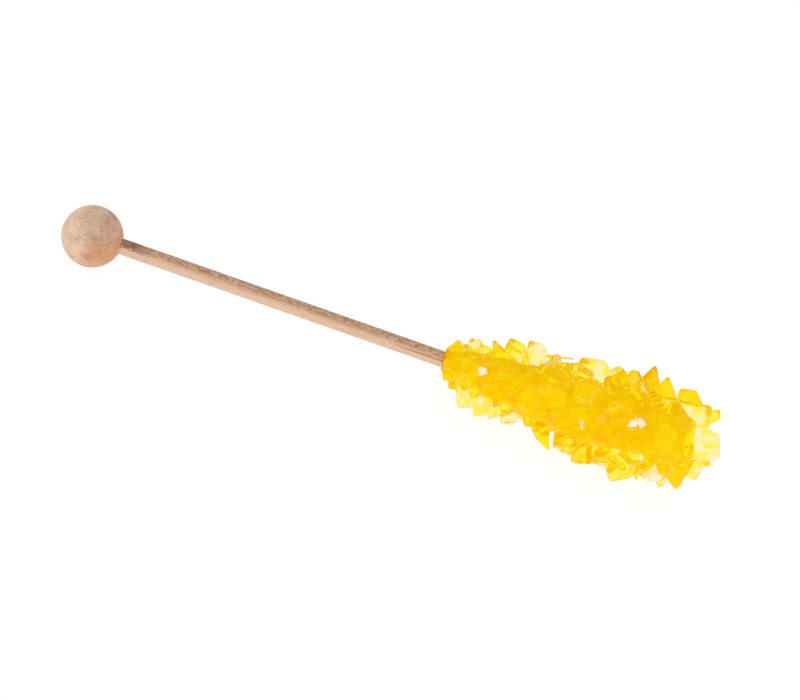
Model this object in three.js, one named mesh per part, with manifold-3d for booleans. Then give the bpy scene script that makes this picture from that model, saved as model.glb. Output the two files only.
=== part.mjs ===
// A rock candy stick: a turned wooden ball on a thin wooden dowel, with sugar crystals grown
// round the dowel's far end. It lies on its side, on the ball and on a few crystal corners.
//
// Millimetres, +Z up. The floor is z = 0 and the origin is the point of the floor under the
// ball's centre. The dowel runs towards +X and climbs a little, because the candy is thicker
// than the ball. -Y is the front.
import * as THREE from "three";
import { mergeVertices } from "three/addons/utils/BufferGeometryUtils.js";
import Module from "manifold-3d";

const wasm = await Module();
wasm.setup();

// ---- driving dimensions ----
const OVERALL_LENGTH = 139.7; // to where the candy's outline closes; its end crystals reach 2 mm on
const BALL_R = 6.35;
const BALL_FLAT_DEPTH = 0.08; // what the small flat that the ball rests on takes off
const DOWEL_R = 1.65;
const BALL_TO_CANDY = 75.5; // from the ball's centre to where the crystals begin
const DOWEL_IN_BALL = 2.2; // how far the dowel goes past the ball's centre
const DOWEL_SHORT_OF_END = 9; // the crystals reach this far past the dowel's end
const FIT_GAP = 0.3; // between the dowel and the holes that it stands in
const CLIMB = THREE.MathUtils.degToRad(2.38); // of the dowel, from the ball to the candy
const CANDY_LENGTH = OVERALL_LENGTH - BALL_R - BALL_TO_CANDY;
const DOWEL_END = BALL_TO_CANDY + CANDY_LENGTH - DOWEL_SHORT_OF_END;
const BALL_SIDES = 40;
const DOWEL_SIDES = 32;
const HOLE_SIDES = 20;

// The outline that the crystals grow out to, as a radius along the candy.
const MOUTH_R = 3.5;
const BULGE_R = 10.5;
const BULGE_AT = 38; // from the mouth to the thickest place
const ROUNDING = 12.9; // the length of the blunt end
const BLUNTNESS = 2.6; // 2 would round the end as a ball
const CORE_SHARE = 0.68; // the solid sugar under the crystals, as a share of that outline
const CORE_FROM = 0.6; // from the mouth
const CORE_TO = CANDY_LENGTH - 2.4;
const CORE_STEPS = 24;
const CORE_SIDES = 14;

// ---- crystals ----
// Sugar grows as slanting blocks. Each kind is a unit block whose outer corners are cut off by
// growth faces: [nx, ny, nz, distance from the block's centre].
const SLANT = Math.tan(THREE.MathUtils.degToRad(13.5));
const DEPTH_SHARE = 0.88; // a crystal's depth, as a share of its width
const KINDS = {
  roof: [
    [0.81, 0, 0.58, 0.28],
    [-0.63, 0, 0.78, 0.38],
    [0.27, 0.71, 0.65, 0.51],
  ],
  block: [
    [0.07, 0.05, 1, 0.43],
    [0.79, 0, 0.61, 0.5],
    [-0.5, 0.69, 0.52, 0.55],
  ],
  spear: [
    [0.6, 0.3, 0.74, 0.29],
    [-0.6, 0.33, 0.73, 0.39],
    [0, -0.79, 0.61, 0.34],
  ],
  fang: [
    [-0.46, 0.13, 0.88, 0.26],
    [0.93, 0, 0.38, 0.39],
    [0.05, -0.7, 0.71, 0.52],
    [0, 0.78, 0.63, 0.48],
  ],
  wedge: [
    [0.82, 0, 0.57, 0.27],
    [-0.16, 0.09, 0.98, 0.47],
    [0.13, -0.78, 0.61, 0.47],
  ],
};
const FILL_KINDS = ["roof", "block", "spear", "wedge"];

// The crystals that give the candy its outline. Each is a kind, then its place: mm from the
// mouth, degrees round from the top towards the front, and mm out from the dowel's axis to
// the middle of its tip. Then come its width and length in mm, and in degrees its lean
// towards the candy's end and its turn.
const BIG_CRYSTALS = [
  // along the upper back edge
  ["roof", 1.7, -46, 5.2, 5.6, 5.8, -17, 0],
  ["block", 4.8, -52, 6.3, 3.3, 4.7, -17, 10],
  ["block", 7.2, -46, 5.8, 2.9, 3.9, -10, 0],
  ["roof", 8.0, -44, 7.6, 4.6, 9.7, -48, 0],
  ["block", 13.2, -50, 8.9, 4.8, 7.3, 0, 0],
  ["block", 16.8, -50, 9.9, 4.4, 6.0, -12, 0],
  ["roof", 15.4, -34, 7.8, 2.3, 6.1, -17, 0],
  ["block", 19.2, -50, 8.9, 1.1, 2.6, 30, 0],
  ["wedge", 25.4, -48, 8.8, 0.8, 9.1, 78, 0],
  ["roof", 21.5, -28, 8.9, 8.1, 10.9, 2, 180],
  ["block", 28.7, -50, 10.7, 7.6, 9.8, -17, 0],
  ["block", 25.2, -54, 8.4, 4.6, 7.2, -30, 0],
  ["wedge", 34.3, -48, 11.0, 6.6, 8.8, -32, 0],
  ["block", 37.4, -52, 10.9, 2.5, 4.2, -17, 20],
  ["block", 37.3, -46, 9.4, 4.2, 7.0, -14, 0],
  ["fang", 39.5, -46, 13.9, 6.2, 13.2, -17, 0],
  ["roof", 44.3, -48, 12.3, 5.9, 8.4, -12, 0],
  ["block", 46.3, -40, 9.5, 2.8, 5.5, -30, 15],
  ["block", 49.0, -46, 11.3, 5.2, 8.2, -17, 0],
  ["block", 52.1, -48, 9.7, 1.6, 3.3, 30, 0],
  // round the blunt end
  ["block", 55.6, -50, 6.9, 6.6, 11.1, 73, 0],
  ["block", 57.0, -46, 8.3, 2.6, 4.9, 56, 0],
  ["block", 59.7, 130, -2.2, 7.1, 11.6, 104, 0],
  ["block", 58.8, 130, 1.8, 2.1, 9.4, 98, 0],
  ["block", 57.5, 128, 4.7, 5.0, 8.9, 72, 0],
  // along the lower front edge
  ["roof", 53.7, 130, 9.7, 6.8, 9.3, 17, 0],
  ["block", 49.0, 130, 9.6, 4.3, 6.6, 17, 10],
  ["block", 50.4, 126, 9.9, 1.9, 3.1, 24, 0],
  ["block", 45.5, 126, 8.8, 4.2, 6.6, 34, 0],
  ["roof", 45.4, 134, 10.4, 2.0, 4.4, 17, 0],
  ["block", 42.5, 132, 11.7, 6.3, 9.0, 24, 0],
  ["block", 37.5, 126, 10.0, 5.0, 7.2, 12, 30],
  ["block", 33.7, 136, 11.3, 5.5, 8.7, 10, 0],
  ["block", 29.8, 128, 10.3, 4.2, 7.6, -8, 15],
  ["roof", 26.7, 130, 10.7, 4.2, 9.8, 36, 0],
  ["block", 28.7, 122, 9.5, 4.8, 7.6, 5, 0],
  ["block", 23.2, 122, 7.4, 3.7, 6.5, 17, 0],
  ["block", 17.2, 130, 8.4, 4.4, 8.2, 17, 0],
  ["block", 13.9, 126, 8.0, 3.6, 5.8, 24, 0],
  ["block", 11.1, 132, 8.8, 3.8, 6.4, 17, 0],
  ["block", 7.8, 130, 8.2, 4.9, 7.5, 14, 0],
  ["block", 4.2, 132, 5.5, 3.4, 5.2, 0, 10],
  ["roof", 1.4, 128, 4.3, 3.4, 4.4, -20, 0],
  // facing the front
  ["block", 28.6, 14, 10.6, 5.3, 8.0, -20, 0],
  ["wedge", 41.0, 30, 11.1, 4.9, 7.6, 30, 70],
  ["roof", 20.5, 60, 10.0, 4.8, 7.5, -25, 35],
  ["block", 48.9, 44, 9.7, 4.9, 7.4, 28, 20],
  // underneath, where the candy rests
  ["block", 26.9, 196, 11.0, 4.7, 7.5, 6, 30],
  ["roof", 36.1, 164, 11.8, 5.0, 7.6, -4, 60],
  ["block", 40.4, 203, 11.9, 5.0, 8.0, 0, 75],
  ["block", 46.8, 172, 11.6, 4.8, 7.6, 8, 10],
];

// The smaller crystals between them, spread evenly round the candy.
const FILL_COUNT = 140;
const FILL_SEED = 42;
const FILL_SPREAD = 1.04; // over 1 crowds the crystals towards the mouth, where they are small
const GOLDEN_TURN = 137.508; // degrees from one crystal to the next
const FILL_TURN_PLAY = 20;
const FILL_REACH = [0.82, 0.99]; // share of the outline
const FILL_WIDTH = [2.8, 5.3]; // where the candy is thickest
const FILL_WIDTH_PLAY = [0.6, 1]; // share of that width
const FILL_SLIMNESS = [1.3, 1.9]; // length over width
const FILL_LEAN = 42; // either way from the outline's normal, along the candy
const FILL_SIDE_LEAN = 30; // either way, round the candy

// The two rows of big crystals, in degrees round. Past the mouth no small crystal grows within
// ROW_ROOM degrees of a row, and those further off stay low enough for the big ones to stand clear.
const BIG_ROWS = [-50, 130];
// Where the big crystals stay clear: mm from the mouth, and degrees round.
const WINDOWS = [
  [23.5, 36.5, -75, -28],
  [11.5, 18.6, -75, -38],
  [53.5, 60, -180, 180],
];
const FIRST_CRYSTAL = 0.8;
const ROWS_FROM = 6.5;
const ROW_ROOM = 14;
const LOW_SHARE = 0.86;
const SMALL_UNTIL = 50.7;

const matrix = () => new THREE.Matrix4();
const turned = (axis, degrees) =>
  matrix()["makeRotation" + axis](THREE.MathUtils.degToRad(degrees));

// Repeatable random numbers from 0 to 1.
function dice(seed) {
  let state = seed >>> 0;
  return () => {
    state = (Math.imul(state, 1664525) + 1013904223) >>> 0;
    return state / 2 ** 32;
  };
}

// The candy's outline radius at a distance from its mouth.
function outline(along) {
  const grown = 1 - (1 - Math.min(along / BULGE_AT, 1)) ** 2;
  const past = Math.max((along - CANDY_LENGTH + ROUNDING) / ROUNDING, 0);
  const closing = Math.max(1 - past ** BLUNTNESS, 0) ** (1 / BLUNTNESS);
  return (MOUTH_R + (BULGE_R - MOUTH_R) * grown) * closing;
}

// How far the outline's surface faces the candy's end there, in degrees.
function facing(along) {
  const step = 0.4;
  const low = Math.max(along - step, 0);
  const high = Math.min(along + step, CANDY_LENGTH);
  return THREE.MathUtils.radToDeg(Math.atan2(outline(low) - outline(high), high - low));
}

// ---- solids ----
function solidOf(geometry) {
  const bare = geometry.index ? geometry.toNonIndexed() : geometry.clone();
  bare.deleteAttribute("normal");
  bare.deleteAttribute("uv");
  const merged = mergeVertices(bare, 1e-4);
  return new wasm.Manifold(
    new wasm.Mesh({
      numProp: 3,
      vertProperties: new Float32Array(merged.attributes.position.array),
      triVerts: new Uint32Array(merged.index.array),
    }),
  );
}

function geometryOf(solid) {
  const { vertProperties, triVerts } = solid.getMesh();
  const geometry = new THREE.BufferGeometry();
  geometry.setAttribute("position", new THREE.BufferAttribute(vertProperties, 3));
  geometry.setIndex(new THREE.BufferAttribute(triVerts, 1));
  const faceted = geometry.toNonIndexed();
  faceted.computeVertexNormals();
  return faceted;
}

// What lies on the far side of the plane n.p = distance is cut away.
const cutPast = (solid, [nx, ny, nz], distance) => solid.trimByPlane([-nx, -ny, -nz], -distance);

// A rod along +X.
function rod(radius, from, to, sides) {
  const geometry = new THREE.CylinderGeometry(radius, radius, to - from, sides);
  return geometry.rotateZ(-Math.PI / 2).translate((from + to) / 2, 0, 0);
}

// A unit crystal: a slanting block with its outer corners cut off.
function unitCrystal(faces) {
  const slanting = matrix().makeShear(0, 0, 0, 0, SLANT, 0);
  const block = solidOf(new THREE.BoxGeometry(1, 1, 1).applyMatrix4(slanting));
  return faces.reduce((solid, [x, y, z, far]) => cutPast(solid, [x, y, z], far), block);
}

// A crystal in its place. The dowel runs along +X, and its tip is at the given place.
function placed(unit, along, around, reach, width, length, lean, sideLean, turn) {
  const place = turned("X", around)
    .multiply(matrix().makeTranslation(BALL_TO_CANDY + along, 0, reach))
    .multiply(turned("Y", lean))
    .multiply(turned("X", sideLean))
    .multiply(turned("Z", turn))
    .multiply(matrix().makeTranslation(0, 0, -length / 2))
    .multiply(matrix().makeScale(width, width * DEPTH_SHARE, length));
  return unit.transform(place.elements);
}

function bigCrystals(units) {
  return BIG_CRYSTALS.map(([kind, along, around, reach, width, length, lean, turn]) =>
    placed(units[kind], along, around, reach, width, length, lean, 0, turn),
  );
}

const signed = (degrees) => ((((degrees + 180) % 360) + 360) % 360) - 180;

// A small crystal's reach, kept low near the rows of big crystals, or null for no crystal.
function clearOfRows(along, around, reach) {
  if (along < FIRST_CRYSTAL) return null;
  const turn = signed(around);
  for (const [from, to, low, high] of WINDOWS) {
    if (from < along && along < to && low < turn && turn < high) return null;
  }
  if (along < ROWS_FROM) return reach;
  const away = Math.min(...BIG_ROWS.map((row) => Math.abs(signed(around - row))));
  if (away < ROW_ROOM || along > SMALL_UNTIL) return null;
  const low = (LOW_SHARE * outline(along)) / Math.cos(THREE.MathUtils.degToRad(away));
  return Math.min(reach, low);
}

function fillCrystals(units) {
  const roll = dice(FILL_SEED);
  const between = ([low, high]) => low + (high - low) * roll();
  const kinds = FILL_KINDS.map((kind) => units[kind]);
  const made = [];
  for (let i = 0; i < FILL_COUNT; i++) {
    const along = CANDY_LENGTH * ((i + 0.5) / FILL_COUNT) ** FILL_SPREAD;
    const around = i * GOLDEN_TURN + FILL_TURN_PLAY * roll();
    const full = outline(along) * between(FILL_REACH);
    const size = Math.sqrt(outline(along) / BULGE_R);
    const width = between(FILL_WIDTH) * size * between(FILL_WIDTH_PLAY);
    const length = width * between(FILL_SLIMNESS);
    const lean = facing(along) + FILL_LEAN * (2 * roll() - 1);
    const sideLean = FILL_SIDE_LEAN * (2 * roll() - 1);
    const turn = 360 * roll();
    const unit = kinds[Math.floor(kinds.length * roll())];
    const reach = clearOfRows(along, around, full);
    if (reach === null) continue;
    made.push(placed(unit, along, around, reach, width, length, lean, sideLean, turn));
  }
  return made;
}

// The solid sugar that the crystals stand on.
function candyCore() {
  const profile = [new THREE.Vector2(0, CORE_FROM)];
  for (let i = 0; i <= CORE_STEPS; i++) {
    const along = THREE.MathUtils.lerp(CORE_FROM, CORE_TO, i / CORE_STEPS);
    profile.push(new THREE.Vector2(outline(along) * CORE_SHARE, along));
  }
  profile.push(new THREE.Vector2(0, CORE_TO));
  const geometry = new THREE.LatheGeometry(profile, CORE_SIDES);
  return solidOf(geometry.rotateZ(-Math.PI / 2).translate(BALL_TO_CANDY, 0, 0));
}

// The floor, as the tilted dowel's frame sees it.
const floorNormal = [-Math.sin(CLIMB), 0, -Math.cos(CLIMB)];
const ballHeight = BALL_R - BALL_FLAT_DEPTH;
const restOnFloor = (solid) => cutPast(solid, floorNormal, ballHeight);

function ball() {
  const sphere = solidOf(new THREE.SphereGeometry(BALL_R, BALL_SIDES, BALL_SIDES / 2));
  const hole = solidOf(rod(DOWEL_R + FIT_GAP, -DOWEL_IN_BALL - FIT_GAP, 2 * BALL_R, HOLE_SIDES));
  return restOnFloor(sphere.subtract(hole));
}

function candy() {
  const units = {};
  for (const [kind, faces] of Object.entries(KINDS)) units[kind] = unitCrystal(faces);
  const grown = wasm.Manifold.union([candyCore(), ...bigCrystals(units), ...fillCrystals(units)]);
  const hole = solidOf(rod(DOWEL_R + FIT_GAP, BALL_TO_CANDY / 2, DOWEL_END + FIT_GAP, HOLE_SIDES));
  const cut = restOnFloor(grown.subtract(hole));
  // Chips that the cuts leave loose are dropped.
  const bodies = cut.decompose().sort((a, b) => b.volume() - a.volume());
  return bodies[0];
}

function dowel() {
  return rod(DOWEL_R, -DOWEL_IN_BALL, DOWEL_END, DOWEL_SIDES);
}

// ---- the object ----
function part(name, geometry, colour, roughness) {
  const material = new THREE.MeshStandardMaterial({ color: colour, roughness, metalness: 0 });
  const mesh = new THREE.Mesh(geometry, material);
  mesh.name = name;
  return mesh;
}

const stick = new THREE.Group();
stick.position.z = ballHeight;
stick.rotation.y = -CLIMB;
stick.add(part("wooden_ball", geometryOf(ball()), 0xd6b08e, 0.6));
stick.add(part("wooden_dowel", dowel(), 0xd2a787, 0.6));
stick.add(part("sugar_crystals", geometryOf(candy()), 0xf7d239, 0.12));

const root = new THREE.Group();
root.add(stick);
export default root;
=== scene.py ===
"""A rock candy stick: a turned beech ball on a birch dowel, with yellow rock sugar grown round it.

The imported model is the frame. Its three solids are replaced by finished pieces: the ball with
its drilled hole, the dowel, and the sugar as a fine-grained core under big, small and fine
crystals. Everything is in metres, +Z up, and lies where the frame's solids lie.
"""

import math

import bmesh
import bpy
from mathutils import Matrix, Quaternion, Vector


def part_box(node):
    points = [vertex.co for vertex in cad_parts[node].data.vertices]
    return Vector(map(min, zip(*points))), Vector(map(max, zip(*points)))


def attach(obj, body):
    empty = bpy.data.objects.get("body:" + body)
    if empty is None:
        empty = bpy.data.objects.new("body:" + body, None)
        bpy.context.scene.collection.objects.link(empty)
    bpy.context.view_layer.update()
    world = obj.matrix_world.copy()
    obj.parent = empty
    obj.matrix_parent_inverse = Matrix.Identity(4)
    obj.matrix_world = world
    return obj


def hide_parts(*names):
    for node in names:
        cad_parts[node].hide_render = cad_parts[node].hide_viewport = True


bl_info = {
    "name": "Rock Candy Stick",
    "version": (1, 0, 0),
    "blender": (4, 5, 0),
    "location": "3D Viewport > Sidebar > Rock Candy",
    "description": "Models a rock candy stick round its packed frame",
    "category": "Add Mesh",
}

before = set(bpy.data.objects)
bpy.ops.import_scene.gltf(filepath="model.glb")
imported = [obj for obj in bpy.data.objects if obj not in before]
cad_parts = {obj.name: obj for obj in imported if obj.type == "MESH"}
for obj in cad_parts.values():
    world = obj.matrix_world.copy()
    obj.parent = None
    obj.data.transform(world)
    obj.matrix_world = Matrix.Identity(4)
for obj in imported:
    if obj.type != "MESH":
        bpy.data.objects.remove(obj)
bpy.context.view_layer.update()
MM = 0.001


# ---- where things are, from the frame ----
def ball_from_frame():
    """The ball's centre and radius."""
    lo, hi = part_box("wooden_ball")
    radius = (hi.y - lo.y) / 2
    return Vector((0, 0, hi.z - radius)), radius


def dowel_from_frame():
    """The middles of the dowel's two ends, its radius and how steeply it climbs."""
    lo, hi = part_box("wooden_dowel")
    radius = (hi.y - lo.y) / 2
    climb = 0.0
    for _ in range(8):
        rise = hi.z - lo.z - 2 * radius * math.cos(climb)
        run = hi.x - lo.x - 2 * radius * math.sin(climb)
        climb = math.atan2(rise, run)
    inset = Vector((math.sin(climb), 0, math.cos(climb))) * radius
    start = Vector((lo.x, 0, lo.z)) + inset
    end = Vector((hi.x, 0, hi.z)) - inset
    return start, end, radius, climb


BALL_CENTRE, BALL_R = ball_from_frame()
DOWEL_START, DOWEL_END, DOWEL_R, CLIMB = dowel_from_frame()
# The stick's own frame: the ball's centre is its origin and the dowel runs along its +X.
STICK = Matrix.Translation(BALL_CENTRE) @ Matrix.Rotation(-CLIMB, 4, "Y")
STICK_LENGTH = (DOWEL_END - DOWEL_START).length

# ---- the camera, in metres ----
CAMERA_AIM = Vector((0.06663, -0.00029, 0.00766))
CAMERA_DISTANCE = 1.0
CAMERA_AZIMUTH = math.radians(-3)
CAMERA_ELEVATION = math.radians(50)
CAMERA_ROLL = math.radians(23.17)
CAMERA_LENS = 221.3

# ---- the light: how strong it is from the front, from the back and up through the table ----
LIGHT_FRONT = 1.12
LIGHT_BACK = 0.7
TABLE_GLOW = 0.86
TABLE_GREY = (0.2, 0.2, 0.2)

# The two colour inputs of a Mix node, and its colour output.
MIX_A, MIX_B, MIX_RESULT = 6, 7, 2

# ---- the sugar's shape, in mm, as the frame's solid has it ----
MOUTH = 75.5  # from the ball's centre to where the crystals begin
CANDY_LENGTH = 139.7 - BALL_R / MM - MOUTH
MOUTH_R = 3.5
BULGE_R = 10.5
BULGE_AT = 38
ROUNDING = 12.9
BLUNTNESS = 2.6
# From the candy's own mm, with its mouth at the origin, to the frame.
CANDY = STICK @ Matrix.Scale(MM, 4) @ Matrix.Translation((MOUTH, 0, 0))

# The core and the skin of sugar over it run between these places, in mm from the mouth.
CORE_SPAN = (0.5, CANDY_LENGTH - 6.5)
SKIN_SPAN = (0.3, CANDY_LENGTH - 5)
SKIN_OVER_CORE = 0.06
SKIN_DYE = 0.7
# The relief of each: the size of its grains and how far they stand out, in mm.
CORE_RELIEF = (1.3, 0.9)
SKIN_RELIEF = (2.2, 0.8)

SLANT = math.tan(math.radians(13.5))
DEPTH_SHARE = 0.88
# Each kind of crystal is a slanting unit block cut by growth faces: a normal, and how far out.
KINDS = {
    "roof": [
        ((0.81, 0, 0.58), 0.28),
        ((-0.63, 0, 0.78), 0.38),
        ((0.27, 0.71, 0.65), 0.51),
    ],
    "block": [
        ((0.07, 0.05, 1), 0.43),
        ((0.79, 0, 0.61), 0.5),
        ((-0.5, 0.69, 0.52), 0.55),
    ],
    "spear": [
        ((0.6, 0.3, 0.74), 0.29),
        ((-0.6, 0.33, 0.73), 0.39),
        ((0, -0.79, 0.61), 0.34),
    ],
    "fang": [
        ((-0.46, 0.13, 0.88), 0.26),
        ((0.93, 0, 0.38), 0.39),
        ((0.05, -0.7, 0.71), 0.52),
        ((0, 0.78, 0.63), 0.48),
    ],
    "wedge": [
        ((0.82, 0, 0.57), 0.27),
        ((-0.16, 0.09, 0.98), 0.47),
        ((0.13, -0.78, 0.61), 0.47),
    ],
}

# The crystals that give the candy its outline: kind, mm from the mouth, degrees round from the
# top towards the front, mm out from the axis to the tip, width, length, lean, turn and dye.
BIG_CRYSTALS = [
    # along the upper back edge
    ("roof", 1.7, -46, 5.2, 5.6, 5.8, -17, 0, 1.4),
    ("block", 4.8, -52, 6.3, 3.3, 4.7, -17, 10, -0.1),
    ("block", 7.2, -46, 5.8, 2.9, 3.9, -10, 0, 0.5),
    ("roof", 8.0, -44, 7.6, 4.6, 9.7, -48, 0, 1.3),
    ("block", 13.2, -50, 8.9, 4.8, 7.3, 0, 0, 0.1),
    ("block", 16.8, -50, 9.9, 4.4, 6.0, -12, 0, 0.0),
    ("roof", 15.4, -34, 7.8, 2.3, 6.1, -17, 0, 1.4),
    ("block", 19.2, -50, 8.9, 1.1, 2.6, 30, 0, 0.6),
    ("wedge", 25.4, -48, 8.8, 0.8, 9.1, 78, 0, 1.3),
    ("roof", 21.5, -28, 8.9, 8.1, 10.9, 2, 180, 0.8),
    ("block", 28.7, -50, 10.7, 7.6, 9.8, -17, 0, 0.05),
    ("block", 25.2, -54, 8.4, 4.6, 7.2, -30, 0, 0.5),
    ("wedge", 34.3, -48, 11.0, 6.6, 8.8, -32, 0, 0.05),
    ("block", 37.4, -52, 10.9, 2.5, 4.2, -17, 20, 1.25),
    ("block", 37.3, -46, 9.4, 4.2, 7.0, -14, 0, -0.1),
    ("fang", 39.5, -46, 13.9, 6.2, 13.2, -17, 0, 1.5),
    ("roof", 44.3, -48, 12.3, 5.9, 8.4, -12, 0, 1.2),
    ("block", 46.3, -40, 9.5, 2.8, 5.5, -30, 15, -0.5),
    ("block", 49.0, -46, 11.3, 5.2, 8.2, -17, 0, 1.25),
    ("block", 52.1, -48, 9.7, 1.6, 3.3, 30, 0, 0.8),
    # round the blunt end
    ("block", 55.6, -50, 6.9, 6.6, 11.1, 73, 0, 0.15),
    ("block", 57.0, -46, 8.3, 2.6, 4.9, 56, 0, 0.5),
    ("block", 59.7, 130, -2.2, 7.1, 11.6, 104, 0, 0.08),
    ("block", 58.8, 130, 1.8, 2.1, 9.4, 98, 0, 1.0),
    ("block", 57.5, 128, 4.7, 5.0, 8.9, 72, 0, 0.2),
    # along the lower front edge
    ("roof", 53.7, 130, 9.7, 6.8, 9.3, 17, 0, 1.35),
    ("block", 49.0, 130, 9.6, 4.3, 6.6, 17, 10, -0.5),
    ("block", 50.4, 126, 9.9, 1.9, 3.1, 24, 0, 0.0),
    ("block", 45.5, 126, 8.8, 4.2, 6.6, 34, 0, 0.3),
    ("roof", 45.4, 134, 10.4, 2.0, 4.4, 17, 0, 0.6),
    ("block", 42.5, 132, 11.7, 6.3, 9.0, 24, 0, 0.35),
    ("block", 37.5, 126, 10.0, 5.0, 7.2, 12, 30, 0.0),
    ("block", 33.7, 136, 11.3, 5.5, 8.7, 10, 0, 1.15),
    ("block", 29.8, 128, 10.3, 4.2, 7.6, -8, 15, 0.3),
    ("roof", 26.7, 130, 10.7, 4.2, 9.8, 36, 0, 0.3),
    ("block", 28.7, 122, 9.5, 4.8, 7.6, 5, 0, 1.1),
    ("block", 23.2, 122, 7.4, 3.7, 6.5, 17, 0, 1.25),
    ("block", 17.2, 130, 8.4, 4.4, 8.2, 17, 0, 0.0),
    ("block", 13.9, 126, 8.0, 3.6, 5.8, 24, 0, 0.0),
    ("block", 11.1, 132, 8.8, 3.8, 6.4, 17, 0, 0.1),
    ("block", 7.8, 130, 8.2, 4.9, 7.5, 14, 0, 0.0),
    ("block", 4.2, 132, 5.5, 3.4, 5.2, 0, 10, 1.3),
    ("roof", 1.4, 128, 4.3, 3.4, 4.4, -20, 0, 1.3),
    # facing the front
    ("block", 28.6, 14, 10.6, 5.3, 8.0, -20, 0, 0.6),
    ("wedge", 41.0, 30, 11.1, 4.9, 7.6, 30, 70, 0.9),
    ("roof", 20.5, 60, 10.0, 4.8, 7.5, -25, 35, 0.8),
    ("block", 48.9, 44, 9.7, 4.9, 7.4, 28, 20, 0.7),
    ("block", 40.3, 36, 11.3, 2.0, 3.3, 10, 20, -1.0),
    ("block", 41.1, 33, 11.2, 1.5, 3.4, -20, 60, -0.9),
    ("roof", 40.5, 30.5, 11.3, 1.3, 3.4, 15, 40, -0.8),
    ("block", 8.4, 37, 7.4, 1.5, 3.2, 0, 30, -0.9),
    ("roof", 8.9, 33, 7.5, 1.0, 2.8, 25, 10, -0.7),
    ("wedge", 31.1, 61, 10.7, 1.0, 4.4, 10, 30, -0.6),
    # underneath, where the candy rests
    ("block", 26.9, 196, 11.0, 4.7, 7.5, 6, 30, 0.5),
    ("roof", 36.1, 164, 11.8, 5.0, 7.6, -4, 60, 0.5),
    ("block", 40.4, 203, 11.9, 5.0, 8.0, 0, 75, 0.5),
    ("block", 46.8, 172, 11.6, 4.8, 7.6, 8, 10, 0.5),
]

# A crystal's faces have a sunken window: its depth and the width of its border, as shares of the
# crystal's width.
WINDOW_DEPTH = 0.006
BORDER = 0.09
FINE_BORDER = 0.12
BIG_SOFTENED = 1.4
FINE_SOFTNESS = 0.05

FILL_KINDS = ("roof", "block", "spear", "wedge")
FILL_COUNT = 140
FILL_SEED = 42
FILL_SPREAD = 1.04
GOLDEN_TURN = 137.508
FILL_TURN_PLAY = 20
FILL_REACH = (0.82, 0.99)
FILL_WIDTH = (2.8, 5.3)
FILL_WIDTH_PLAY = (0.6, 1)
FILL_SLIMNESS = (1.3, 1.9)
FILL_LEAN = 42
FILL_SIDE_LEAN = 30
# The two rows of big crystals, in degrees round. Past the mouth no small crystal grows within
# ROW_ROOM degrees of a row, and those further off stay low enough for the big ones to stand clear.
BIG_ROWS = (-50, 130)
# Where the big crystals stay clear: mm from the mouth, and degrees round.
WINDOWS = ((23.5, 36.5, -75, -28), (11.5, 18.6, -75, -38), (53.5, 60, -180, 180))
FIRST_CRYSTAL = 0.8
ROWS_FROM = 6.5
ROW_ROOM = 14
LOW_SHARE = 0.86
SMALL_UNTIL = 50.7
FILL_DYE = (0.35, 1.0)
GOLDEN_SHARE = 0.618
# What the small crystals in front with the least dye have instead: a little frosting.
FROSTING = -0.12
FROSTED_UNDER = 0.46
FRONT = (20, 150)

FINE_SEED = 11
FINE_REACH = (0.58, 0.72)
FINE_WIDTH = (1.7, 3.4)
FINE_SLIMNESS = (1.1, 1.7)
FINE_LEAN = 60
FINE_SPAN = (2, CANDY_LENGTH - 3.5)
FINE_TURN_PLAY = 40
FINE_DYE = (0.4, 1.0)


def linear(code):
    """An sRGB hex colour as linear red, green and blue."""
    parts = [int(code[i : i + 2], 16) / 255 for i in (0, 2, 4)]
    return [c / 12.92 if c <= 0.04045 else ((c + 0.055) / 1.055) ** 2.4 for c in parts]


# ---- what a user can change ----
class RockCandySizes(bpy.types.PropertyGroup):
    bore_radius: bpy.props.FloatProperty(
        name="Bore radius",
        description="Radius of the hole drilled in the ball",
        default=DOWEL_R + 0.06 * MM,
        unit="LENGTH",
        precision=5,
    )
    core_share: bpy.props.FloatProperty(
        name="Core",
        description="The fine-grained core, as a share of the candy's outline",
        default=0.56,
        subtype="FACTOR",
    )
    fine_count: bpy.props.IntProperty(
        name="Fine crystals",
        description="How many fine crystals grow between the others",
        default=320,
    )
    edge_softness: bpy.props.FloatProperty(
        name="Edge softness",
        description="Bevel of a crystal's edges, as a share of its width",
        default=0.07,
        subtype="FACTOR",
    )


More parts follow.
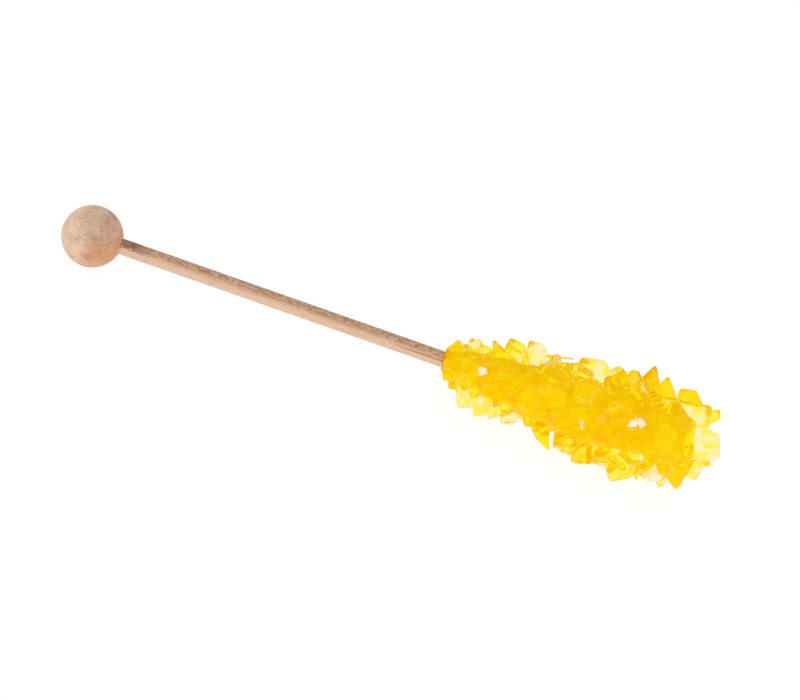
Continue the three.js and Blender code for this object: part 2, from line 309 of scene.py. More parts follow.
class RockCandyColours(bpy.types.PropertyGroup):
    sugar_clear: bpy.props.FloatVectorProperty(
        name="Clear sugar",
        description="What the clearest crystals tint light",
        default=linear("fff3ec"),
        subtype="COLOR",
    )
    sugar_deep: bpy.props.FloatVectorProperty(
        name="Deep sugar",
        description="What the yellowest crystals tint light",
        default=linear("ffe81c"),
        subtype="COLOR",
    )
    sugar_amber: bpy.props.FloatVectorProperty(
        name="Amber sugar",
        description="What the most deeply dyed crystals of the rim tint light",
        default=linear("fcc910"),
        subtype="COLOR",
    )
    frost_white: bpy.props.FloatVectorProperty(
        name="White frosting",
        description="The fine sugar on the whitest crystals",
        default=linear("fffdf8"),
        subtype="COLOR",
    )
    frost_yellow: bpy.props.FloatVectorProperty(
        name="Yellow frosting",
        description="The fine sugar on the other frosted crystals",
        default=linear("fff8a2"),
        subtype="COLOR",
    )
    core_pale: bpy.props.FloatVectorProperty(
        name="Core, pale",
        description="The paler clouds in the dense sugar inside",
        default=linear("fdf886"),
        subtype="COLOR",
    )
    core_deep: bpy.props.FloatVectorProperty(
        name="Core, deep",
        description="The deeper clouds in the dense sugar inside",
        default=linear("fde631"),
        subtype="COLOR",
    )
    # Painted light and shade on the ball: the wood lit on its side away from the dowel and below,
    # and shaded on top.
    beech_painted_light_side: bpy.props.FloatVectorProperty(
        name="Beech, pale side",
        description="The ball's wood away from the dowel",
        default=linear("e8cab0"),
        subtype="COLOR",
    )
    beech_painted_shade_top: bpy.props.FloatVectorProperty(
        name="Beech, top",
        description="The ball's wood on top",
        default=linear("be9a80"),
        subtype="COLOR",
    )
    beech_painted_light_low: bpy.props.FloatVectorProperty(
        name="Beech, low",
        description="The ball's wood below",
        default=linear("d8a478"),
        subtype="COLOR",
    )
    # Painted light and shade on the dowel: the wood lit on its lower front side, and shaded on top.
    birch_painted_light: bpy.props.FloatVectorProperty(
        name="Birch, pale",
        description="The dowel's paler wood",
        default=linear("e4c1a5"),
        subtype="COLOR",
    )
    birch_painted_shade: bpy.props.FloatVectorProperty(
        name="Birch, dark",
        description="The dowel's darker wood",
        default=linear("cda688"),
        subtype="COLOR",
    )


# ---- small helpers ----
def start_clean():
    """Back to object mode with nothing selected."""
    if bpy.context.object and bpy.context.object.mode != "OBJECT":
        bpy.ops.object.mode_set(mode="OBJECT")
    bpy.ops.object.select_all(action="DESELECT")


def pick(piece):
    """Selects one piece alone and makes it the active one."""
    start_clean()
    piece.select_set(True)
    bpy.context.view_layer.objects.active = piece


def edit(piece):
    """Opens one piece in edit mode, with nothing else selected."""
    pick(piece)
    bpy.ops.object.mode_set(mode="EDIT")


def select_faces(test):
    """Selects the faces of the piece in edit mode that pass a test."""
    bpy.ops.mesh.select_mode(type="FACE")
    bpy.ops.mesh.select_all(action="DESELECT")
    data = bpy.context.object.data
    shape = bmesh.from_edit_mesh(data)
    for face in shape.faces:
        face.select_set(test(face))
    bmesh.update_edit_mesh(data)


def apply_modifier(piece, kind, **settings):
    """Adds a modifier with its settings and applies it."""
    pick(piece)
    modifier = piece.modifiers.new(kind.title(), kind)
    for name, value in settings.items():
        setattr(modifier, name, value)
    bpy.ops.object.modifier_apply(modifier=modifier.name)


def settle(piece, name, place=None):
    """Names a piece and moves its place into its mesh, so that its object sits at the origin."""
    pick(piece)
    piece.name = piece.data.name = name
    if place is not None:
        piece.matrix_world = place @ piece.matrix_world
    bpy.ops.object.transform_apply(location=True, rotation=True, scale=True)
    return piece


def hand_over(piece, node, material):
    """Gives a finished piece its material, hangs it under the root body and hides the frame's solid
    that it stands for.
    """
    piece.data.materials.clear()
    piece.data.materials.append(material)
    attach(piece, "root")
    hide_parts(node)


def add(tree, kind, sockets=None, **settings):
    """Adds a node. A socket is given a value, or another node's output to be linked to."""
    node = tree.nodes.new(kind)
    for name, value in settings.items():
        setattr(node, name, value)
    for name, value in (sockets or {}).items():
        socket = node.inputs[name]
        if isinstance(value, bpy.types.NodeSocket):
            tree.links.new(value, socket)
        elif socket.type == "RGBA":
            socket.default_value = [*value[:3], 1]
        else:
            socket.default_value = value
    return node


def new_material(name):
    """An empty material and its node tree."""
    material = bpy.data.materials.new(name)
    material.use_nodes = True
    material.node_tree.nodes.clear()
    return material, material.node_tree


def stick_mm(tree):
    """The stick's own coordinates in mm: x runs along it from the ball's centre."""
    place = add(tree, "ShaderNodeTexCoord")
    own = add(
        tree,
        "ShaderNodeMapping",
        {
            "Vector": place.outputs["Object"],
            "Location": BALL_CENTRE,
            "Rotation": (0, -CLIMB, 0),
            "Scale": (MM, MM, MM),
        },
        vector_type="TEXTURE",
    )
    return own.outputs["Vector"]


def noise(tree, vector, grains, detail=2.0, roughness=0.5):
    """Noise from 0 to 1, stretched: how many grains there are in a unit along each axis."""
    stretched = add(tree, "ShaderNodeMapping", {"Vector": vector, "Scale": grains})
    sockets = {
        "Vector": stretched.outputs["Vector"],
        "Scale": 1.0,
        "Detail": detail,
        "Roughness": roughness,
    }
    return add(tree, "ShaderNodeTexNoise", sockets).outputs["Fac"]


def along_way(tree, vector, way):
    """How far a point lies along a direction."""
    return add(
        tree, "ShaderNodeVectorMath", {0: vector, 1: way}, operation="DOT_PRODUCT"
    ).outputs["Value"]


def ranged(tree, value, low, high, to_low=0.0, to_high=1.0):
    """A value's place between two others, as a number between two more."""
    sockets = {
        "Value": value,
        "From Min": low,
        "From Max": high,
        "To Min": to_low,
        "To Max": to_high,
    }
    return add(tree, "ShaderNodeMapRange", sockets).outputs["Result"]


def summed(tree, one, other, clamp=True):
    return add(
        tree, "ShaderNodeMath", {0: one, 1: other}, operation="ADD", use_clamp=clamp
    ).outputs[0]


def multiplied(tree, one, other):
    return add(tree, "ShaderNodeMath", {0: one, 1: other}, operation="MULTIPLY").outputs[0]


def larger(tree, one, other):
    return add(tree, "ShaderNodeMath", {0: one, 1: other}, operation="MAXIMUM").outputs[0]


def mixed(tree, factor, one, other):
    """From one colour to the other."""
    sockets = {"Factor": factor, MIX_A: one, MIX_B: other}
    return add(tree, "ShaderNodeMix", sockets, data_type="RGBA").outputs[MIX_RESULT]


def darkened(tree, factor, colour, by):
    """A colour multiplied by another, as far as the factor says."""
    sockets = {"Factor": factor, MIX_A: colour, MIX_B: by}
    return add(
        tree, "ShaderNodeMix", sockets, data_type="RGBA", blend_type="MULTIPLY"
    ).outputs[MIX_RESULT]


def dice(seed):
    """Repeatable random numbers from 0 to 1."""
    state = seed

    def roll():
        nonlocal state
        state = (state * 1664525 + 1013904223) % 2**32
        return state / 2**32

    return roll


# ---- materials ----
def rock_sugar(colours):
    """Rock sugar: clear sucrose crystals dyed yellow, grown from syrup.

    Glassy faces with faint growth lines along each crystal, streaked deeper yellow. Tips and edges
    are painted deep yellow, a painted shade for the longer way light takes through them there, and
    the faces between them are almost clear. A crystal that took up much dye is amber, and one with
    less than none is frosted with fine white sugar.
    """
    material, tree = new_material("rock_sugar")
    own = add(tree, "ShaderNodeAttribute", attribute_name="crystal_mm").outputs["Vector"]
    rim = add(tree, "ShaderNodeAttribute", attribute_name="rim").outputs["Fac"]
    dye = add(tree, "ShaderNodeAttribute", attribute_name="dye").outputs["Fac"]
    height = add(tree, "ShaderNodeAttribute", attribute_name="height").outputs["Fac"]
    striae = noise(tree, own, (2.2, 2.2, 0.12), detail=3.0, roughness=0.6)
    ripple = noise(tree, own, (0.55, 0.55, 0.55))
    blotches = noise(tree, own, (0.4, 0.4, 0.4), detail=3.0, roughness=0.55)

    # Painted shade: deeper yellow on tips and edges, thin on the sides, added to each crystal's own
    # dye, which is streaked along the crystal.
    painted_edge_shade = larger(tree, ranged(tree, height, 0.7, 0.96, 0.0, 1.2), ranged(tree, rim, 0, 1, 0, 1.4))
    uneven = summed(
        tree,
        ranged(tree, blotches, 0.3, 0.7, -0.4, 0.4),
        ranged(tree, striae, 0.3, 0.7, -0.3, 0.3),
        clamp=False,
    )
    taken = summed(tree, uneven, ranged(tree, dye, 0, 1, -0.62, 0.8), clamp=False)
    dye_and_painted_edge_shade = summed(tree, painted_edge_shade, taken)
    deep = mixed(tree, ranged(tree, dye, 1.0, 1.5), colours.sugar_deep, colours.sugar_amber)
    tint = mixed(tree, dye_and_painted_edge_shade, colours.sugar_clear, deep)

    yellowed = ranged(tree, dye, -0.5, -0.2)
    frosting = mixed(tree, yellowed, colours.frost_white, colours.frost_yellow)
    frosted = ranged(tree, dye, -0.3, 0.0, 1.0, 0.0)
    bump = add(
        tree,
        "ShaderNodeBump",
        {
            "Height": summed(tree, striae, ripple, clamp=False),
            "Strength": 0.3,
            "Distance": 0.12 * MM,
        },
    )
    surface = add(
        tree,
        "ShaderNodeBsdfPrincipled",
        {
            "Base Color": mixed(tree, frosted, tint, frosting),
            "Roughness": 0.04,
            "IOR": 1.5,
            "Specular Tint": linear("ffdc00"),
            "Transmission Weight": ranged(tree, dye, -1.0, 0.0, 0.1, 1.0),
            "Normal": bump.outputs["Normal"],
        },
    )
    inside = add(
        tree,
        "ShaderNodeVolumeAbsorption",
        {"Color": (1.0, 0.9, 0.0), "Density": 10.0},
    )
    add(
        tree,
        "ShaderNodeOutputMaterial",
        {"Surface": surface.outputs["BSDF"], "Volume": inside.outputs["Volume"]},
    )
    return material


def sugar_core_material(colours):
    """Dense rock sugar: crystals too fine and crowded to see through, like yellow frosted glass."""
    material, tree = new_material("dense_rock_sugar")
    place = add(tree, "ShaderNodeTexCoord")
    per_metre = 1 / (2.6 * MM)
    clouds = noise(tree, place.outputs["Object"], [per_metre] * 3, detail=4.0)
    tone = mixed(tree, ranged(tree, clouds, 0.36, 0.62), colours.core_pale, colours.core_deep)
    surface = add(
        tree,
        "ShaderNodeBsdfPrincipled",
        {"Base Color": tone, "Roughness": 0.7, "Specular IOR Level": 0.0},
    )
    add(tree, "ShaderNodeOutputMaterial", {"Surface": surface.outputs["BSDF"]})
    return material


def beech(colours):
    """Turned beech, sanded and bare: matt, with growth lines and short dark pores.

    Its layers lie flat, so their lines run round the ball like parallels. Painted light makes it a
    pale cream on the side away from the dowel and a warm orange brown below, and painted shade
    makes it a greyer brown on top.
    """
    material, tree = new_material("turned_beech")
    where = stick_mm(tree)
    patches = noise(tree, where, (0.3, 0.3, 0.3), detail=3.0)
    lines = noise(tree, where, (0.16, 0.22, 3.4), detail=4.0)
    fibres = noise(tree, where, (0.45, 2.6, 2.6), detail=4.0)
    pores = noise(tree, where, (0.42, 3.0, 3.0), detail=1.0)
    # Painted light and shade: warmer and lighter below and paler on the side away from the dowel as
    # painted light, greyer on top as painted shade, with random patches of tone.
    low = ranged(tree, along_way(tree, where, (0.72, -0.53, -0.45)), -0.5, 6.0)
    far = ranged(tree, along_way(tree, where, (-1, 0, 0.1)), -2.8, 4.6)
    painted_low_light_and_patches = summed(tree, low, ranged(tree, patches, 0.35, 0.65, -0.25, 0.25))
    body = mixed(tree, painted_low_light_and_patches, colours.beech_painted_shade_top, colours.beech_painted_light_low)
    painted_side_light_and_patches = summed(tree, far, ranged(tree, patches, 0.35, 0.65, 0.4, -0.4))
    toned = mixed(tree, painted_side_light_and_patches, body, colours.beech_painted_light_side)
    lower = ranged(tree, low, 0.0, 0.7, 0.25, 0.65)
    strength = multiplied(tree, ranged(tree, lines, 0.44, 0.6), lower)
    lined = darkened(tree, strength, toned, (0.84, 0.68, 0.5))
    fibrous = ranged(tree, fibres, 0.45, 0.62, 0.0, 0.5)
    streaked = darkened(tree, fibrous, lined, (0.84, 0.77, 0.72))
    middle = ranged(tree, along_way(tree, where, (1, 0, 0)), -5.5, -1.0, 0.1, 0.75)
    dashes = multiplied(tree, ranged(tree, pores, 0.6, 0.7), middle)
    pored = darkened(tree, dashes, streaked, (0.7, 0.56, 0.46))
    bump = add(
        tree, "ShaderNodeBump", {"Height": lines, "Strength": 0.2, "Distance": 0.05 * MM}
    )
    surface = add(
        tree,
        "ShaderNodeBsdfPrincipled",
        {
            "Base Color": pored,
            "Roughness": 0.62,
            "Specular IOR Level": 0.3,
            "Normal": bump.outputs["Normal"],
        },
    )
    add(tree, "ShaderNodeOutputMaterial", {"Surface": surface.outputs["BSDF"]})
    return material


def birch(colours):
    """Birch dowel, machined and bare: matt, with fine short flecks along the grain.

    It is painted paler on its lower front side, as painted light and sheen, and darker and more
    flecked on its upper side, as painted shade; the two meet along its length at an uneven border.
    It is darker brown next to the ball on its upper side, and a thin reddish streak runs up to the
    candy.
    """
    material, tree = new_material("birch_dowel")
    where = stick_mm(tree)
    flecks = noise(tree, where, (1.0, 2.9, 2.9), detail=2.0)
    grain = noise(tree, where, (0.1, 2.6, 2.6), detail=3.0)
    along = along_way(tree, where, (1, 0, 0))
    low = along_way(tree, where, (0, -0.766, -0.643))
    # The uneven border between the painted light below and the painted shade above, in mm below the
    # middle of the side that shows.
    border = summed(tree, low, ranged(tree, flecks, 0.35, 0.65, -0.5, 0.5), clamp=False)
    pale = ranged(tree, border, -0.22, 0.3)
    toned = mixed(tree, pale, colours.birch_painted_shade, colours.birch_painted_light)
    lined = darkened(tree, ranged(tree, grain, 0.42, 0.7, 0.0, 0.45), toned, (0.88, 0.78, 0.68))
    dashes = multiplied(
        tree, ranged(tree, flecks, 0.46, 0.56), ranged(tree, pale, 0.0, 1.0, 1.0, 0.3)
    )
    flecked = darkened(tree, dashes, lined, (0.66, 0.57, 0.5))
    near_ball = ranged(tree, along, 12.6, 9.0)
    patch = multiplied(tree, near_ball, ranged(tree, border, 0.25, -0.15))
    patched = darkened(tree, patch, flecked, (0.6, 0.5, 0.46))
    narrow = multiplied(tree, ranged(tree, low, 0.2, 0.36), ranged(tree, low, 0.62, 0.46))
    line = multiplied(tree, narrow, ranged(tree, along, 62.0, 69.0))
    streaked = darkened(tree, line, patched, (0.68, 0.42, 0.3))
    bump = add(
        tree, "ShaderNodeBump", {"Height": flecks, "Strength": 0.25, "Distance": 0.05 * MM}
    )
    surface = add(
        tree,
        "ShaderNodeBsdfPrincipled",
        {
            "Base Color": streaked,
            "Roughness": 0.6,
            "Specular IOR Level": 0.3,
            "Normal": bump.outputs["Normal"],
        },
    )
    add(tree, "ShaderNodeOutputMaterial", {"Surface": surface.outputs["BSDF"]})
    return material


# ---- the sugar ----
def outline(along):
    """The radius that the crystals grow out to, in mm, at a distance from the mouth."""
    grown = 1 - (1 - min(along / BULGE_AT, 1)) ** 2
    past = max((along - CANDY_LENGTH + ROUNDING) / ROUNDING, 0)
    closing = max(1 - past**BLUNTNESS, 0) ** (1 / BLUNTNESS)
    return (MOUTH_R + (BULGE_R - MOUTH_R) * grown) * closing


def facing(along):
    """How far the outline's surface faces the candy's end there, in degrees."""
    low = max(along - 0.4, 0)
    high = min(along + 0.4, CANDY_LENGTH)
    return math.degrees(math.atan2(outline(low) - outline(high), high - low))


def clear_of_rows(along, around, reach):
    """A small crystal's reach, kept low near the rows of big crystals, or None for no crystal."""
    if along < FIRST_CRYSTAL:
        return None
    turn = (around + 180) % 360 - 180
    if any(a < along < b and low < turn < high for a, b, low, high in WINDOWS):
        return None
    if along < ROWS_FROM:
        return reach
    away = min(abs((around - row + 180) % 360 - 180) for row in BIG_ROWS)
    if away < ROW_ROOM or along > SMALL_UNTIL:
        return None
    return min(reach, LOW_SHARE * outline(along) / math.cos(math.radians(away)))


def unit_crystal(kind, softness, rounds, window):
    """One crystal of a kind, a unit high and wide, shaped from a block.

    Its wide faces get a sunken window, and its rim attribute is 1 outside those windows.
    """
    start_clean()
    bpy.ops.mesh.primitive_cube_add(size=1)
    crystal = bpy.context.object
    crystal.name = "unit_" + kind
    edit(crystal)
    select_faces(lambda face: face.normal.z > 0.5)
    bpy.ops.transform.translate(value=(SLANT, 0, 0))
    bpy.ops.mesh.select_all(action="SELECT")
    bpy.ops.transform.translate(value=(-SLANT / 2, 0, 0))
    for normal, far in KINDS[kind]:
        bpy.ops.mesh.select_all(action="SELECT")
        bpy.ops.mesh.bisect(
            plane_co=Vector(normal) * far, plane_no=normal, use_fill=True, clear_outer=True
        )
    bpy.ops.mesh.select_all(action="SELECT")
    bpy.ops.mesh.bevel(offset=softness, segments=rounds, affect="EDGES")
    wide = lambda face: min(edge.calc_length() for edge in face.edges) > 3 * window
    select_faces(lambda face: abs(face.normal.z) < 0.5 and wide(face))
    bpy.ops.mesh.inset(thickness=window, depth=-WINDOW_DEPTH, use_individual=True)
    shape = bmesh.from_edit_mesh(crystal.data)
    windows = {face.index for face in shape.faces if face.select}
    inner = {
        vert.index for vert in shape.verts if any(face.index in windows for face in vert.link_faces)
    }
    bpy.ops.object.mode_set(mode="OBJECT")
    mesh = crystal.data
    # The rim attribute tells the sugar material where to paint deeper yellow on the edges, as
    # painted shade.
    rim = mesh.attributes.new("rim", "FLOAT", "CORNER")
    for i, loop in enumerate(mesh.loops):
        rim.data[i].value = 0.0 if loop.vertex_index in inner else 1.0
    return crystal


def placement(along, around, reach, width, length, lean, side_lean, turn):
    """Where a unit crystal goes, as the frame's solid has it."""
    turned = lambda degrees, axis: Matrix.Rotation(math.radians(degrees), 4, axis)
    return (
        STICK
        @ Matrix.Scale(MM, 4)
        @ turned(around, "X")
        @ Matrix.Translation((MOUTH + along, 0, reach))
        @ turned(lean, "Y")
        @ turned(side_lean, "X")
        @ turned(turn, "Z")
        @ Matrix.Translation((0, 0, -length / 2))
        @ Matrix.Diagonal((width, width * DEPTH_SHARE, length, 1))
    )


def grow(unit, place, size, dye, number):
    """A copy of a unit crystal in its place, which knows its own mm and how much dye it took."""
    mesh = unit.data.copy()
    own = mesh.attributes.new("crystal_mm", "FLOAT_VECTOR", "CORNER")
    shift = number * 7.31
    flat = []
    for loop in mesh.loops:
        x, y, z = mesh.vertices[loop.vertex_index].co
        flat += [x * size[0] + shift, y * size[0] - shift, z * size[1] + shift]
    own.data.foreach_set("vector", flat)
    taken = mesh.attributes.new("dye", "FLOAT", "CORNER")
    taken.data.foreach_set("value", [dye] * len(mesh.loops))
    # The height attribute lets the sugar material paint the tips deeper yellow, as painted shade.
    height = mesh.attributes.new("height", "FLOAT", "CORNER")
    height.data.foreach_set(
        "value", [mesh.vertices[loop.vertex_index].co.z + 0.5 for loop in mesh.loops]
    )
    mesh.transform(place)
    mesh.update()
    crystal = bpy.data.objects.new(unit.name + "_copy", mesh)
    bpy.context.collection.objects.link(crystal)
    return crystal


def fuse(crystals):
    """Grows crystals into one another, as one closed solid."""
    first, rest = crystals[0], crystals[1:]
    cluster = bpy.data.collections.new("cluster")
    for crystal in rest:
        cluster.objects.link(crystal)
    apply_modifier(
        first,
        "BOOLEAN",
        operation="UNION",
        operand_type="COLLECTION",
        collection=cluster,
        solver="MANIFOLD",
    )
    remove(rest)
    bpy.data.collections.remove(cluster)
    return first


def remove(objects):
    for thing in list(objects):
        bpy.data.objects.remove(thing)


class ROCKCANDY_OT_stage(bpy.types.Operator):
    """Makes the lit table, the soft studio light and the camera"""

    bl_idname = "rock_candy.stage"
    bl_label = "Stage"

    def execute(self, context):
        scene = context.scene
        scene.view_settings.view_transform = "Standard"
        # Light bounces many times among clear crystals before it leaves them.
        scene.cycles.max_bounces = 96
        scene.cycles.transmission_bounces = 96
        scene.cycles.glossy_bounces = 96
        scene.cycles.diffuse_bounces = 64
        scene.cycles.blur_glossy = 0.0
        self.make_world(scene)
        self.make_floor()
        self.make_camera(scene)
        return {"FINISHED"}

    def make_world(self, scene):
        """An even white light from all round, a little stronger in front than behind."""
        world = bpy.data.worlds.new("studio")
        scene.world = world
        world.use_nodes = True
        tree = world.node_tree
        tree.nodes.clear()
        where = add(tree, "ShaderNodeTexCoord")
        split = add(tree, "ShaderNodeSeparateXYZ", {"Vector": where.outputs["Generated"]})
        strength = ranged(tree, split.outputs["Y"], -0.8, 0.8, LIGHT_FRONT, LIGHT_BACK)
        sky = add(tree, "ShaderNodeBackground", {"Color": (1, 1, 1), "Strength": strength})
        add(tree, "ShaderNodeOutputWorld", {"Surface": sky.outputs["Background"]})

    def make_floor(self):
        """A white table that is lit from below."""
        start_clean()
        bpy.ops.mesh.primitive_plane_add(size=3)
        floor = bpy.context.object
        floor.name = "floor"
        material, tree = new_material("lit_table")
        white = add(tree, "ShaderNodeBsdfDiffuse", {"Color": TABLE_GREY})
        glow = add(tree, "ShaderNodeEmission", {"Color": (1, 1, 1), "Strength": TABLE_GLOW})
        both = add(
            tree,
            "ShaderNodeAddShader",
            {0: white.outputs["BSDF"], 1: glow.outputs["Emission"]},
        )
        add(tree, "ShaderNodeOutputMaterial", {"Surface": both.outputs["Shader"]})
        floor.data.materials.append(material)

    def make_camera(self, scene):
        """Looks down on the stick from the front, rolled so that the stick slopes."""
        start_clean()
        back = Vector(
            (
                math.sin(CAMERA_AZIMUTH) * math.cos(CAMERA_ELEVATION),
                -math.cos(CAMERA_AZIMUTH) * math.cos(CAMERA_ELEVATION),
                math.sin(CAMERA_ELEVATION),
            )
        )
        bpy.ops.object.camera_add(location=CAMERA_AIM + back * CAMERA_DISTANCE)
        camera = bpy.context.object
        level = (-back).to_track_quat("-Z", "Y")
        camera.rotation_euler = (level @ Quaternion((0, 0, 1), CAMERA_ROLL)).to_euler()
        camera.data.lens = CAMERA_LENS
        camera.data.sensor_width = 36
        camera.data.clip_start = 0.01
        scene.camera = camera


class ROCKCANDY_OT_ball(bpy.types.Operator):
    """Turns the ball from a sphere, drills it for the dowel and flattens it where it rests"""

    bl_idname = "rock_candy.ball"
    bl_label = "Wooden ball"

    def execute(self, context):
        start_clean()
        bpy.ops.mesh.primitive_uv_sphere_add(
            segments=96, ring_count=64, radius=BALL_R, rotation=(0, math.radians(90), 0)
        )
        ball = settle(bpy.context.object, "turned_ball")
        depth = (DOWEL_START - BALL_CENTRE).length + 0.1 * MM
        start_clean()
        bpy.ops.mesh.primitive_cylinder_add(
            vertices=64,
            radius=context.scene.rock_candy.bore_radius,
            depth=depth + 2 * BALL_R,
            location=(BALL_R - depth / 2, 0, 0),
            rotation=(0, math.radians(90), 0),
        )
        drill = settle(bpy.context.object, "drill")
        apply_modifier(ball, "BOOLEAN", operation="DIFFERENCE", object=drill, solver="EXACT")
        remove([drill])
        apply_modifier(
            ball,
            "BEVEL",
            width=0.1 * MM,
            segments=2,
            limit_method="ANGLE",
            angle_limit=math.radians(50),
        )
        settle(ball, "turned_ball", STICK)
        edit(ball)
        bpy.ops.mesh.select_all(action="SELECT")
        bpy.ops.mesh.bisect(
            plane_co=(0, 0, 0),
            plane_no=(0, 0, 1),
            use_fill=True,
            clear_inner=True,
            threshold=0.001 * MM,
        )
        bpy.ops.object.mode_set(mode="OBJECT")
        bpy.ops.object.shade_smooth_by_angle(angle=math.radians(35))
        hand_over(ball, "wooden_ball", beech(context.scene.rock_candy_colours))
        return {"FINISHED"}


class ROCKCANDY_OT_dowel(bpy.types.Operator):
    """Makes the dowel from a rod, with eased ends and the slight waviness of machined wood"""

    bl_idname = "rock_candy.dowel"
    bl_label = "Wooden dowel"

    def execute(self, context):
        start_clean()
        bpy.ops.mesh.primitive_cylinder_add(vertices=48, radius=DOWEL_R, depth=STICK_LENGTH)
        dowel = bpy.context.object
        edit(dowel)
        bpy.ops.mesh.select_mode(type="EDGE")
        bpy.ops.mesh.select_all(action="DESELECT")
        shape = bmesh.from_edit_mesh(dowel.data)
        for side in shape.edges:
            side.select_set(side.calc_length() > STICK_LENGTH / 2)
        bmesh.update_edit_mesh(dowel.data)
        bpy.ops.mesh.subdivide(number_cuts=90)
        bpy.ops.object.mode_set(mode="OBJECT")
        apply_modifier(
            dowel,
            "BEVEL",
            width=0.2 * MM,
            segments=3,
            limit_method="ANGLE",
            angle_limit=math.radians(50),
        )
        wave = bpy.data.textures.new("wave", "CLOUDS")
        wave.noise_scale = 5 * MM
        apply_modifier(
            dowel,
            "DISPLACE",
            texture=wave,
            texture_coords="LOCAL",
            strength=0.05 * MM,
            mid_level=0.5,
        )
        place = Matrix.Translation((DOWEL_START + DOWEL_END) / 2)
        settle(dowel, "dowel", place @ Matrix.Rotation(math.radians(90) - CLIMB, 4, "Y"))
        bpy.ops.object.shade_smooth_by_angle(angle=math.radians(35))
        hand_over(dowel, "wooden_dowel", birch(context.scene.rock_candy_colours))
        return {"FINISHED"}


def spun_body(share, span):
    """A closed body spun round the stick: a share of the outline between two places, in mm."""
    first, last = span
    start_clean()
    bpy.ops.mesh.primitive_plane_add(size=0.1)
    body = bpy.context.object
    edit(body)
    bpy.ops.mesh.select_mode(type="VERT")
    bpy.ops.mesh.select_all(action="SELECT")
    bpy.ops.mesh.merge(type="CENTER")
    steps = 36
    points = [Vector((first, 0, 0))]
    for i in range(steps + 1):
        along = first + (last - first) * i / steps
        points.append(Vector((along, 0, outline(along) * share)))
    points.append(Vector((last, 0, 0)))
    bpy.ops.transform.translate(value=points[0])
    for here, there in zip(points, points[1:]):
        bpy.ops.mesh.extrude_vertices_move(TRANSFORM_OT_translate={"value": there - here})
    bpy.ops.mesh.select_all(action="SELECT")
    bpy.ops.mesh.spin(
        steps=40, angle=math.tau, center=(0, 0, 0), axis=(1, 0, 0), use_auto_merge=True
    )
    bpy.ops.mesh.select_all(action="SELECT")
    bpy.ops.mesh.remove_doubles(threshold=0.001)
    bpy.ops.mesh.normals_make_consistent(inside=False)
    bpy.ops.object.mode_set(mode="OBJECT")
    return body


def roughen(body, relief):
    """Gives a body a crystalline relief: cells of a grain size, in mm, that stand out."""
    grain, strength = relief
    cells = bpy.data.textures.new("cells", "VORONOI")
    cells.noise_scale = grain
    cells.distance_metric = "DISTANCE"
    apply_modifier(
        body, "DISPLACE", texture=cells, texture_coords="LOCAL", strength=strength, mid_level=0.5
    )


class ROCKCANDY_OT_core(bpy.types.Operator):
    """Spins the dense core of the candy from its profile and gives it a crystalline relief"""

    bl_idname = "rock_candy.core"
    bl_label = "Sugar core"

    def execute(self, context):
        core = spun_body(context.scene.rock_candy.core_share, CORE_SPAN)
        apply_modifier(core, "SUBSURF", levels=1, render_levels=1, subdivision_type="SIMPLE")
        roughen(core, CORE_RELIEF)
        settle(core, "sugar_core", CANDY)
        hand_over(
            core,
            "sugar_crystals",
            sugar_core_material(context.scene.rock_candy_colours),
        )
        return {"FINISHED"}


class ROCKCANDY_OT_big_crystals(bpy.types.Operator):
    """Grows the big crystals that give the candy its outline"""

    bl_idname = "rock_candy.big_crystals"
    bl_label = "Big crystals"

    def execute(self, context):
        softness = context.scene.rock_candy.edge_softness
        units = {kind: unit_crystal(kind, BIG_SOFTENED * softness, 3, BORDER) for kind in KINDS}
        grown = []
        for number, row in enumerate(BIG_CRYSTALS):
            kind, along, around, reach, width, length, lean, turn, dye = row
            place = placement(along, around, reach, width, length, lean, 0, turn)
            grown.append(grow(units[kind], place, (width, length), dye, number))
        fuse(grown).name = "big_crystals"
        remove(units.values())
        return {"FINISHED"}


class ROCKCANDY_OT_small_crystals(bpy.types.Operator):
    """Grows the small crystals between the big ones"""

    bl_idname = "rock_candy.small_crystals"
    bl_label = "Small crystals"

    def execute(self, context):
        softness = context.scene.rock_candy.edge_softness
        units = [unit_crystal(kind, softness, 2, BORDER) for kind in FILL_KINDS]
        roll = dice(FILL_SEED)
        between = lambda pair: pair[0] + (pair[1] - pair[0]) * roll()
        grown = []
        for i in range(FILL_COUNT):
            along = CANDY_LENGTH * ((i + 0.5) / FILL_COUNT) ** FILL_SPREAD
            around = i * GOLDEN_TURN + FILL_TURN_PLAY * roll()
            reach = outline(along) * between(FILL_REACH)
            size = math.sqrt(outline(along) / BULGE_R)
            width = between(FILL_WIDTH) * size * between(FILL_WIDTH_PLAY)
            length = width * between(FILL_SLIMNESS)
            lean = facing(along) + FILL_LEAN * (2 * roll() - 1)
            side_lean = FILL_SIDE_LEAN * (2 * roll() - 1)
            turn = 360 * roll()
            unit = units[int(len(units) * roll())]
            dye = FILL_DYE[0] + (FILL_DYE[1] - FILL_DYE[0]) * ((i * GOLDEN_SHARE) % 1)
            if dye < FROSTED_UNDER and FRONT[0] < around % 360 < FRONT[1]:
                dye = FROSTING
            reach = clear_of_rows(along, around, reach)
            if reach is None:
                continue
            place = placement(along, around, reach, width, length, lean, side_lean, turn)
            grown.append(grow(unit, place, (width, length), dye, 100 + i))
        fuse(grown).name = "small_crystals"
        remove(units)
        return {"FINISHED"}


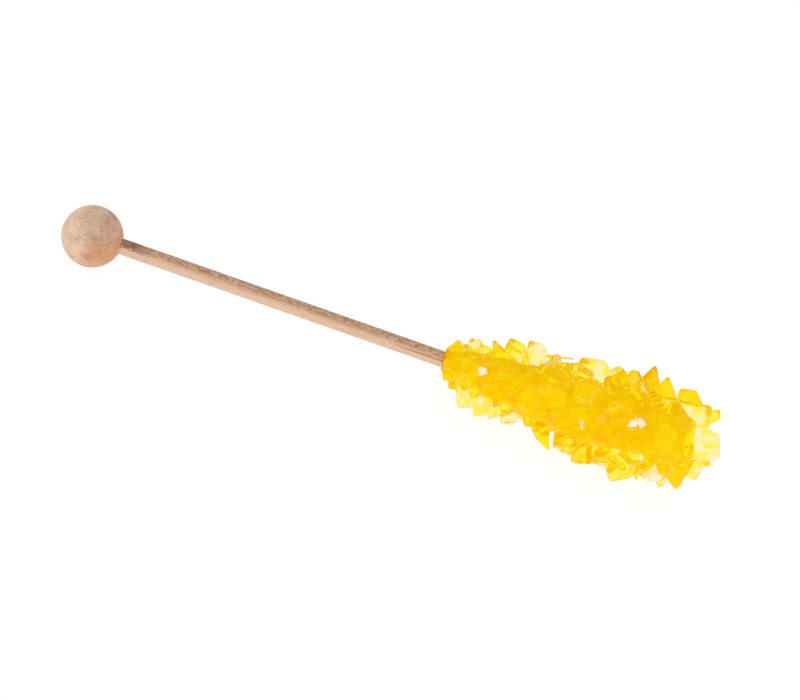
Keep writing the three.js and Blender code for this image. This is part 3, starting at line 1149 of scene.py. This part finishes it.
class ROCKCANDY_OT_fine_crystals(bpy.types.Operator):
    """Grows the fine crystals between the others"""

    bl_idname = "rock_candy.fine_crystals"
    bl_label = "Fine crystals"

    def execute(self, context):
        units = [unit_crystal(kind, FINE_SOFTNESS, 1, FINE_BORDER) for kind in FILL_KINDS]
        count = context.scene.rock_candy.fine_count
        roll = dice(FINE_SEED)
        between = lambda pair: pair[0] + (pair[1] - pair[0]) * roll()
        grown = []
        for i in range(count):
            along = FINE_SPAN[0] + (FINE_SPAN[1] - FINE_SPAN[0]) * (i + 0.5) / count
            around = i * GOLDEN_TURN + FINE_TURN_PLAY * roll()
            reach = outline(along) * between(FINE_REACH)
            width = between(FINE_WIDTH) * math.sqrt(outline(along) / BULGE_R)
            length = width * between(FINE_SLIMNESS)
            lean = facing(along) + FINE_LEAN * (2 * roll() - 1)
            side_lean = FINE_LEAN * (2 * roll() - 1)
            turn = 360 * roll()
            unit = units[int(len(units) * roll())]
            place = placement(along, around, reach, width, length, lean, side_lean, turn)
            dye = between(FINE_DYE)
            if clear_of_rows(along, around, reach) is None:
                continue
            grown.append(grow(unit, place, (width, length), dye, 300 + i))
        fuse(grown).name = "fine_crystals"
        remove(units)
        return {"FINISHED"}


class ROCKCANDY_OT_cluster(bpy.types.Operator):
    """Grows the crystals into one another, and flattens them where they rest on the floor"""

    bl_idname = "rock_candy.cluster"
    bl_label = "Crystal cluster"

    def execute(self, context):
        skin = spun_body(context.scene.rock_candy.core_share + SKIN_OVER_CORE, SKIN_SPAN)
        roughen(skin, SKIN_RELIEF)
        skin.data.transform(CANDY)
        # With rim and height at 1, the sugar material paints the whole skin deep yellow with the
        # full painted edge shade.
        for name, value in (("rim", 1.0), ("height", 1.0), ("dye", SKIN_DYE)):
            own = skin.data.attributes.new(name, "FLOAT", "CORNER")
            own.data.foreach_set("value", [value] * len(skin.data.loops))
        groups = ("big_crystals", "small_crystals", "fine_crystals")
        piece = fuse([skin] + [bpy.data.objects[name] for name in groups])
        start_clean()
        bpy.ops.mesh.primitive_cube_add(size=0.4, location=(0, 0, -0.2))
        floor = bpy.context.object
        apply_modifier(piece, "BOOLEAN", operation="DIFFERENCE", object=floor, solver="MANIFOLD")
        remove([floor])
        settle(piece, "sugar_cluster")
        material = rock_sugar(context.scene.rock_candy_colours)
        hand_over(piece, "sugar_crystals", material)
        return {"FINISHED"}


STEPS = (
    ROCKCANDY_OT_stage,
    ROCKCANDY_OT_ball,
    ROCKCANDY_OT_dowel,
    ROCKCANDY_OT_core,
    ROCKCANDY_OT_big_crystals,
    ROCKCANDY_OT_small_crystals,
    ROCKCANDY_OT_fine_crystals,
    ROCKCANDY_OT_cluster,
)


class ROCKCANDY_PT_panel(bpy.types.Panel):
    """Lists the pieces of the rock candy stick"""

    bl_idname = "ROCKCANDY_PT_panel"
    bl_label = "Rock Candy Stick"
    bl_space_type = "VIEW_3D"
    bl_region_type = "UI"
    bl_category = "Rock Candy"

    def draw(self, context):
        for group in (context.scene.rock_candy, context.scene.rock_candy_colours):
            for name in group.__annotations__:
                self.layout.prop(group, name)
        for step in STEPS:
            self.layout.operator(step.bl_idname)


CLASSES = (RockCandySizes, RockCandyColours, *STEPS, ROCKCANDY_PT_panel)


def register():
    for cls in CLASSES:
        bpy.utils.register_class(cls)
    bpy.types.Scene.rock_candy = bpy.props.PointerProperty(type=RockCandySizes)
    bpy.types.Scene.rock_candy_colours = bpy.props.PointerProperty(type=RockCandyColours)


def unregister():
    del bpy.types.Scene.rock_candy_colours
    del bpy.types.Scene.rock_candy
    for cls in reversed(CLASSES):
        bpy.utils.unregister_class(cls)


def main():
    register()
    bpy.ops.rock_candy.stage()
    bpy.ops.rock_candy.ball()
    bpy.ops.rock_candy.dowel()
    bpy.ops.rock_candy.core()
    bpy.ops.rock_candy.big_crystals()
    bpy.ops.rock_candy.small_crystals()
    bpy.ops.rock_candy.fine_crystals()
    bpy.ops.rock_candy.cluster()


if __name__ == "__main__":
    main()
